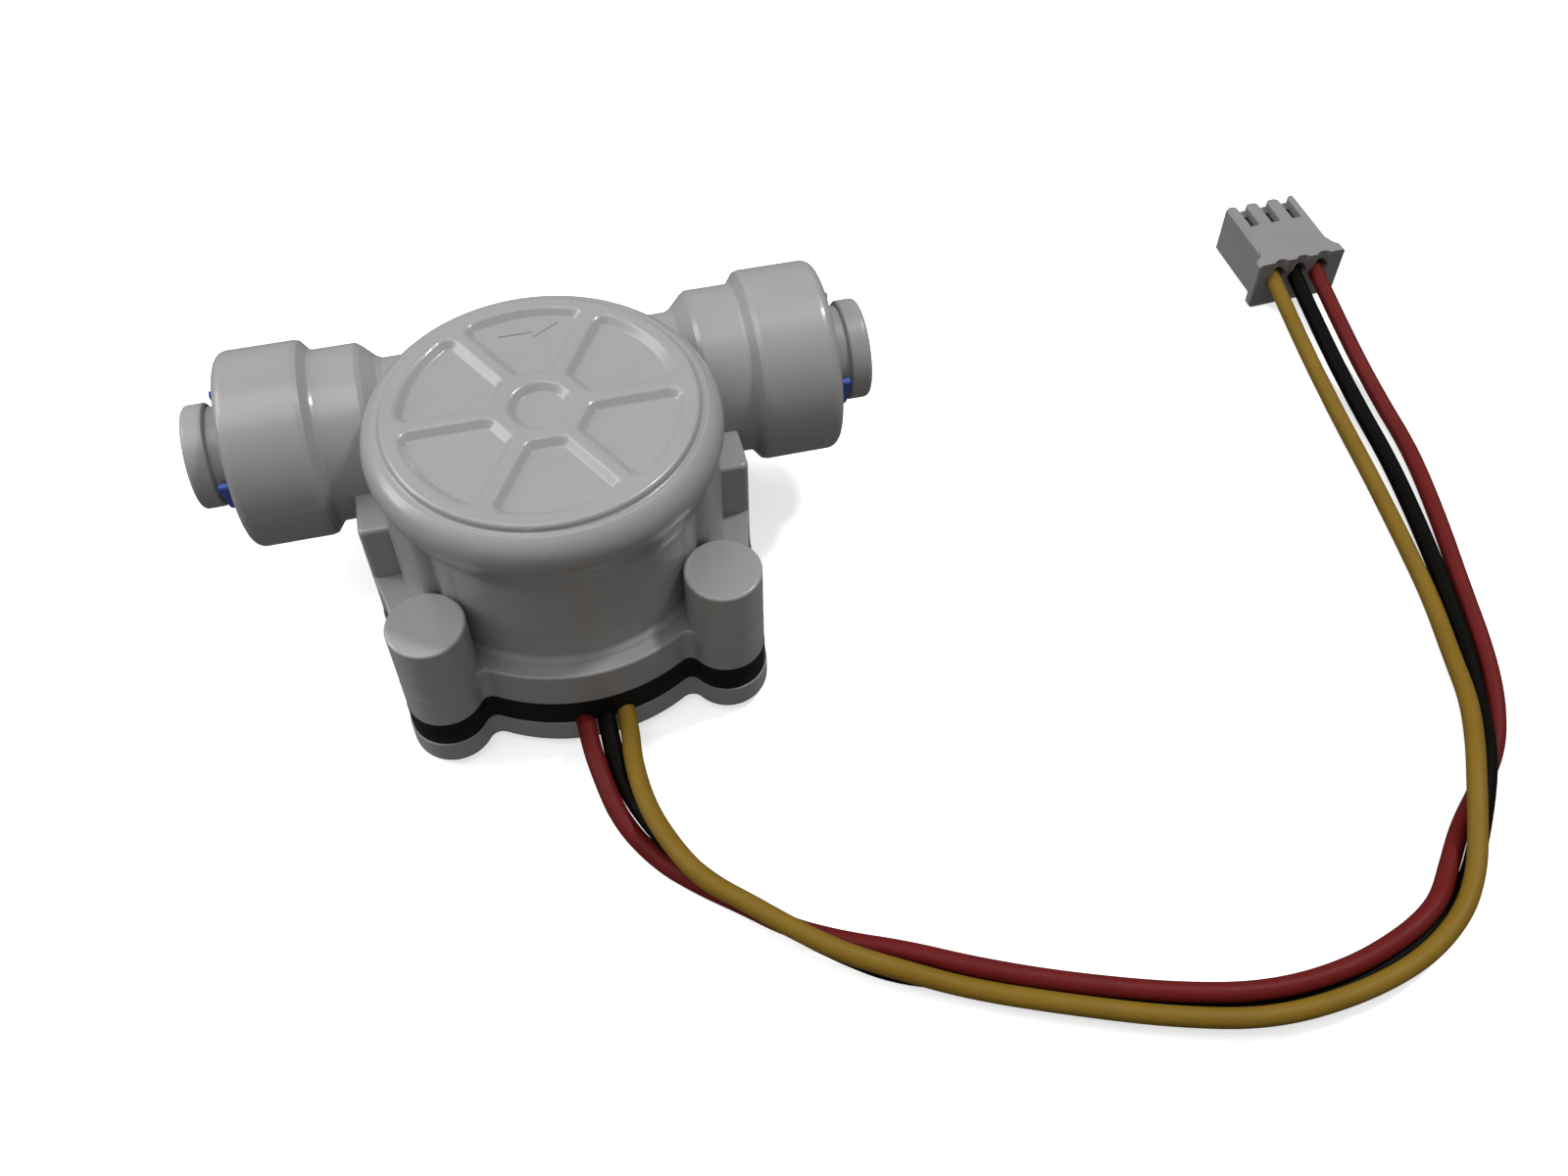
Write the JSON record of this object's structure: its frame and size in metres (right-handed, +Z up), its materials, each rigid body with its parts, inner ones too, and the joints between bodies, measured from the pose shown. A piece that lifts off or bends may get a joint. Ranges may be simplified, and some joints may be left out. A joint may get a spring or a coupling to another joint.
{
  "type": "water flow sensor",
  "caption": "Small in-line water flow sensor: round rotor chamber, push-in tube fittings on both sides, screwed base and a wire lead with a connector.",
  "frame": {"origin": "on the drum axis, at the flat underside of the bottom cover", "axes": "+Z up along the drum and rotor axis, +X along the two fittings in the flow direction, -Y towards the side where the wires leave"},
  "size_m": [0.1169, 0.0867, 0.026],
  "materials": {
    "white_plastic": "glossy moulded",
    "collet_plastic": "satin moulded",
    "plug_plastic": "satin moulded",
    "seal_rubber": "matt",
    "blue_plastic": "satin moulded",
    "black_plastic": "matt",
    "bearing_plastic": "matt",
    "rotor_plastic": "matt",
    "magnet": "matt",
    "screw_steel": "plain",
    "board": "satin",
    "capacitor": "matt",
    "solder": "satin",
    "terminal_metal": "tin plated",
    "red_insulation": "satin",
    "black_insulation": "satin",
    "yellow_insulation": "satin"
  },
  "bodies": {
    "body": {"upper_housing": "white_plastic", "flange_gasket": "seal_rubber", "bottom_cover": "white_plastic", "cover_screws": "screw_steel", "chamber_cover": "white_plastic", "chamber_o_ring": "seal_rubber", "upper_bush": "bearing_plastic", "lower_bush": "bearing_plastic", "circuit_board": "board", "hall_sensor": "black_plastic", "pull_up_resistor": "black_plastic", "filter_capacitor": "capacitor", "solder_joints": "solder", "inlet_gripper": "screw_steel", "inlet_spacer": "white_plastic", "inlet_tube_o_ring": "seal_rubber", "inlet_retainer": "white_plastic", "outlet_gripper": "screw_steel", "outlet_spacer": "white_plastic", "outlet_tube_o_ring": "seal_rubber", "outlet_retainer": "white_plastic", "red_wire": "red_insulation", "black_wire": "black_insulation", "yellow_wire": "yellow_insulation", "plug_housing": "plug_plastic", "plug_terminals": "terminal_metal"},
    "rotor": {"rotor": "rotor_plastic", "rotor_magnet": "magnet", "rotor_axle": "screw_steel"},
    "inlet_collet": {"inlet_collet": "collet_plastic"},
    "outlet_collet": {"outlet_collet": "collet_plastic"},
    "inlet_clip": {"inlet_clip": "blue_plastic"},
    "outlet_clip": {"outlet_clip": "blue_plastic"}
  },
  "joints": [
    {"name": "rotor_spin", "type": "hinge", "parent": "body", "child": "rotor", "pos_m": [0, 0, 0.015], "axis": [0, 0, 1], "continuous": true},
    {"name": "inlet_collet_press", "type": "slide", "parent": "body", "child": "inlet_collet", "axis": [1, 0, 0], "range_m": [0, 0.0003]},
    {"name": "outlet_collet_press", "type": "slide", "parent": "body", "child": "outlet_collet", "axis": [-1, 0, 0], "range_m": [0, 0.0003]},
    {"name": "inlet_clip_pull", "type": "slide", "parent": "body", "child": "inlet_clip", "axis": [0, 0.2924, -0.9563], "range_m": [0, 0.008]},
    {"name": "outlet_clip_pull", "type": "slide", "parent": "body", "child": "outlet_clip", "axis": [0, 0.2924, -0.9563], "range_m": [0, 0.008]}
  ]
}
